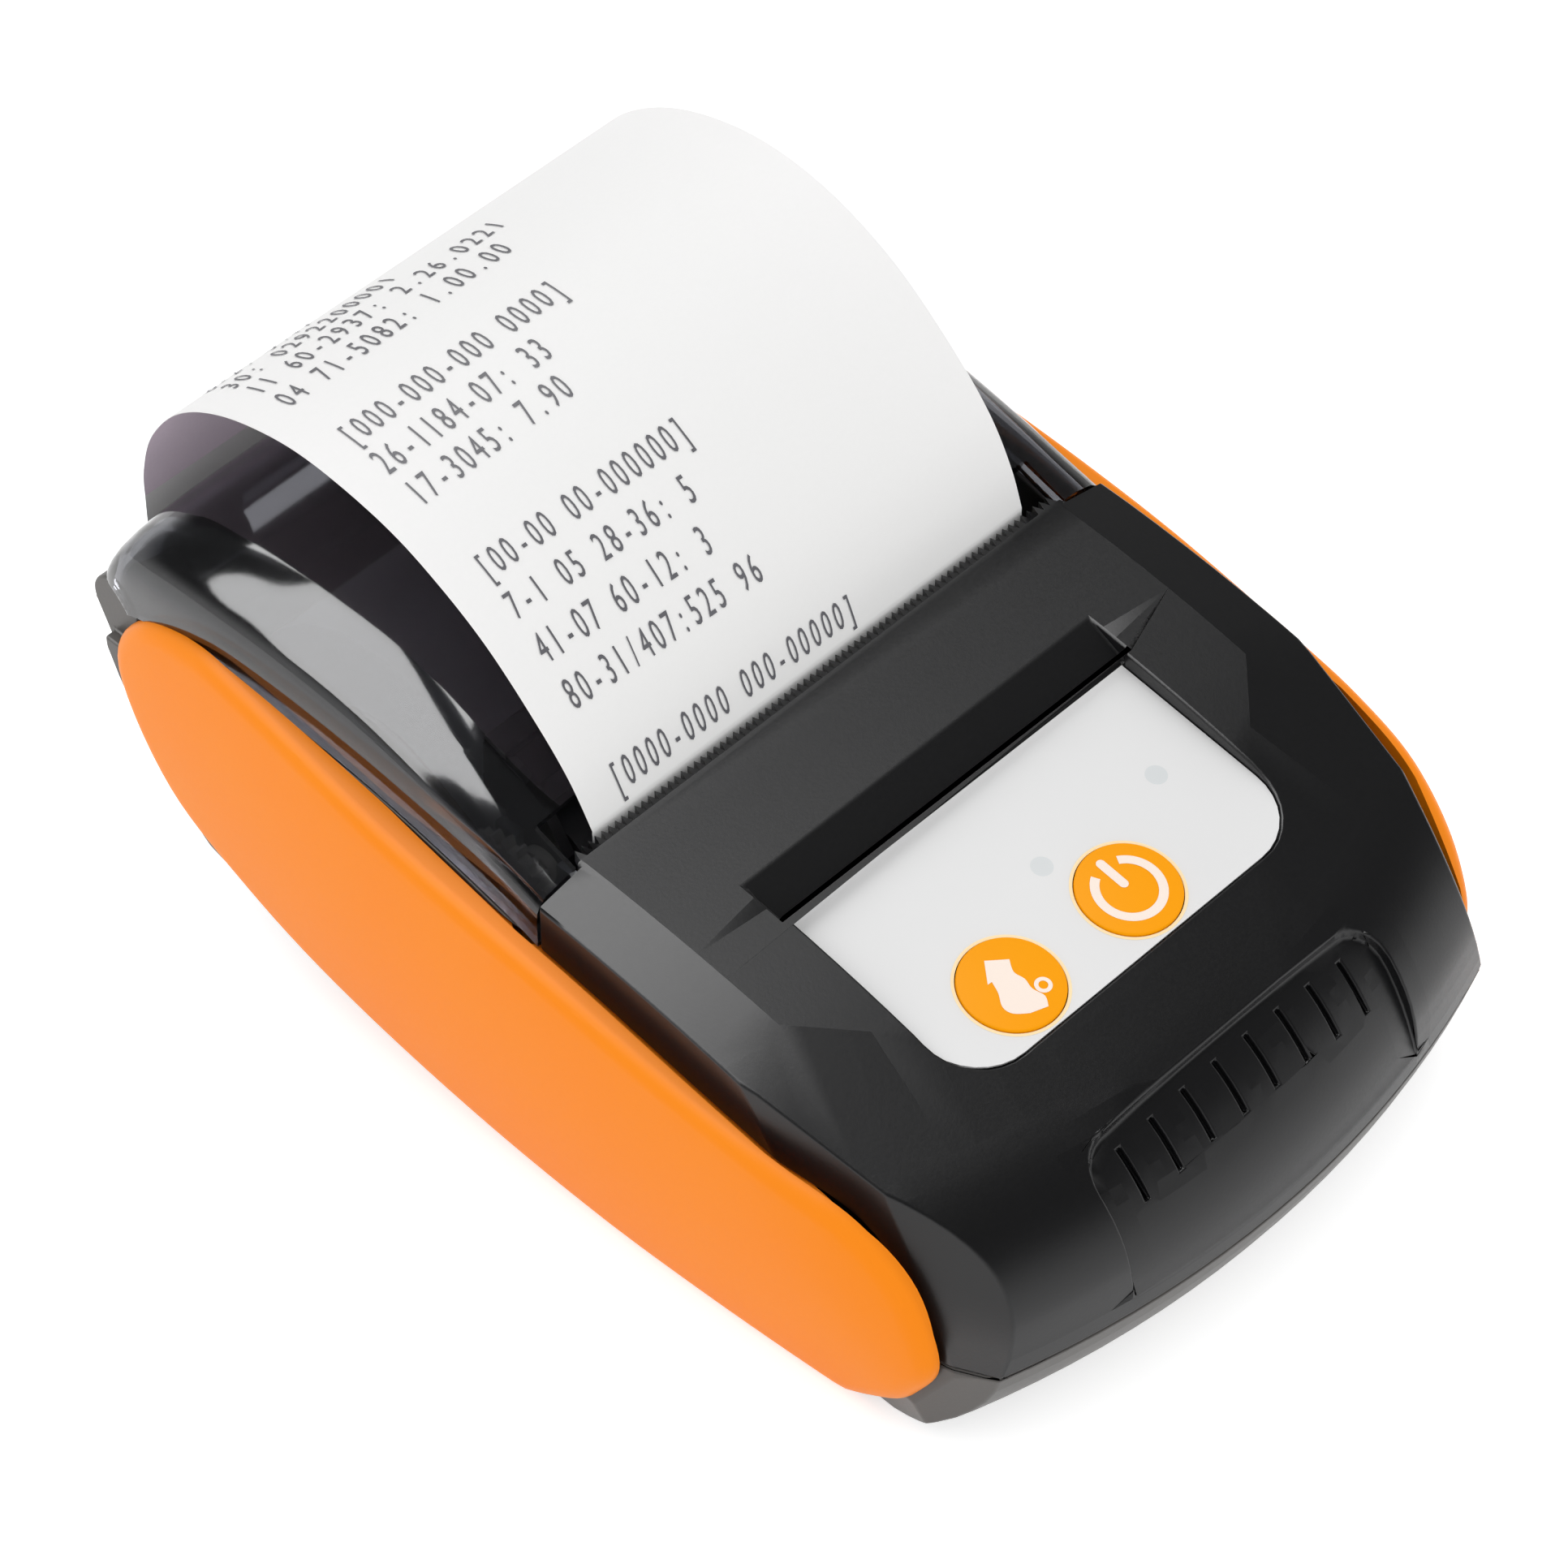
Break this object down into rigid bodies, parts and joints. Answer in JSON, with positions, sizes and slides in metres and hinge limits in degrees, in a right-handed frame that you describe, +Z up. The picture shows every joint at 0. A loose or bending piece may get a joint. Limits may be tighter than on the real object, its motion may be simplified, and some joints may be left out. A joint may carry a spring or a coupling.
{
  "type": "thermal receipt printer",
  "caption": "Battery-run pocket thermal printer: dark shell with orange side panels, smoked clamshell lid over a paper roll, sprung print head, geared platen and two keys on a pale pad.",
  "frame": {"origin": "centre of the flat underside, midway between the side walls; y 0 is 0.5 mm ahead of the lid's front edge", "axes": "+X to the user's right across the paper, +Y to the rear from the keys towards the lid hinge, +Z up from the underside"},
  "size_m": [0.0838, 0.1225, 0.064],
  "materials": {
    "abs_upper": "fine spark-eroded texture on charcoal ABS, satin",
    "abs_lower": "fine texture on charcoal ABS, satin",
    "orange_panel": "soft-touch orange moulding",
    "overlay_film": "fine-matt printed polyester film",
    "lens_plastic": "milky light pipe",
    "amber_key": "smooth amber key cap, satin",
    "dark_plastic": "black moulded plastic",
    "circuit_board": "green solder resist over glass laminate",
    "zinc_steel": "zinc-plated",
    "sheet_steel": "tin-plated sheet, fine brushing",
    "ground_steel": "ground bright",
    "gear_brass": "machined brass",
    "gear_acetal": "natural acetal",
    "cast_aluminium": "die-cast, plain",
    "head_ceramic": "glazed ceramic",
    "platen_rubber": "ground silicone rubber",
    "polyimide_film": "polyimide flat cable",
    "battery_wrap": "heat-shrunk sleeve",
    "gilt_contact": "gold-plated spring strip",
    "smoked_lid": "polished smoked polycarbonate, see-through",
    "thermal_paper": "coated thermal paper, smooth",
    "core_board": "wound board core"
  },
  "bodies": {
    "case": {"bottom_case": "abs_lower", "top_cover": "abs_upper", "side_panel_left": "orange_panel", "side_panel_right": "orange_panel", "keypad_overlay": "overlay_film", "indicator_lenses": "lens_plastic", "key_board": "circuit_board", "tact_switches": "dark_plastic", "indicator_leds": "lens_plastic", "key_board_screws": "zinc_steel", "main_board": "circuit_board", "radio_module": "sheet_steel", "board_chips": "dark_plastic", "board_screws": "zinc_steel", "head_ribbon": "polyimide_film", "battery_pack": "battery_wrap", "battery_contacts": "gilt_contact", "usb_board": "circuit_board", "usb_socket": "sheet_steel", "paper_cradle": "dark_plastic", "mechanism_frame": "sheet_steel", "mechanism_screws": "zinc_steel", "paper_sensor": "dark_plastic", "stepper_motor": "sheet_steel", "idler_axle": "ground_steel", "head_spring": "sheet_steel", "hinge_pins": "ground_steel", "case_screws": "zinc_steel"},
    "lid": {"paper_lid": "smoked_lid", "platen_carrier": "dark_plastic", "platen_bushes": "gear_acetal", "paper_strip": "thermal_paper"},
    "platen": {"platen_shaft": "ground_steel", "platen_rubber": "platen_rubber", "platen_gear": "gear_acetal"},
    "roll": {"paper_roll": "thermal_paper", "roll_core": "core_board"},
    "print_head": {"head_heatsink": "cast_aluminium", "thermal_head": "head_ceramic"},
    "idler": {"idler_gear": "gear_acetal"},
    "motor": {"motor_shaft": "ground_steel", "motor_pinion": "gear_brass"},
    "feed_key": {"feed_button": "amber_key"},
    "power_key": {"power_button": "amber_key"},
    "door": {"battery_door": "abs_lower"}
  },
  "joints": [
    {"name": "lid_hinge", "type": "hinge", "parent": "case", "child": "lid", "pos_m": [0, 0.06, 0.032], "axis": [-1, 0, 0], "range_deg": [0, 90]},
    {"name": "roll_spin", "type": "hinge", "parent": "case", "child": "roll", "pos_m": [0, 0.0305, 0.0226], "axis": [-1, 0, 0], "continuous": true},
    {"name": "platen_spin", "type": "hinge", "parent": "lid", "child": "platen", "pos_m": [0, 0.0072, 0.0308], "axis": [-1, 0, 0], "continuous": true},
    {"name": "idler_spin", "type": "hinge", "parent": "case", "child": "idler", "pos_m": [0, 0.0072, 0.02125], "axis": [-1, 0, 0], "continuous": true},
    {"name": "motor_spin", "type": "hinge", "parent": "case", "child": "motor", "pos_m": [0, 0.00217, 0.01255], "axis": [-1, 0, 0], "continuous": true},
    {"name": "head_tilt", "type": "hinge", "parent": "case", "child": "print_head", "pos_m": [0, 0.0003, 0.0225], "axis": [1, 0, 0], "range_deg": [0, 2], "stiffness_Nm_per_rad": 0.6, "springref_deg": -6.88},
    {"name": "feed_press", "type": "slide", "parent": "case", "child": "feed_key", "axis": [0, 0.1444, -0.9895], "range_m": [0, 0.00035], "stiffness_N_per_m": 500, "springref_m": -0.0008},
    {"name": "power_press", "type": "slide", "parent": "case", "child": "power_key", "axis": [0, 0.1444, -0.9895], "range_m": [0, 0.00035], "stiffness_N_per_m": 500, "springref_m": -0.0008},
    {"name": "door_slide", "type": "slide", "parent": "case", "child": "door", "axis": [0, 1, 0], "range_m": [0, 0.004]}
  ],
  "couplings": [
    {"joint": "platen_spin", "follows": "roll_spin", "ratio": 4},
    {"joint": "idler_spin", "follows": "roll_spin", "ratio": -6.8571},
    {"joint": "motor_spin", "follows": "roll_spin", "ratio": 16}
  ]
}
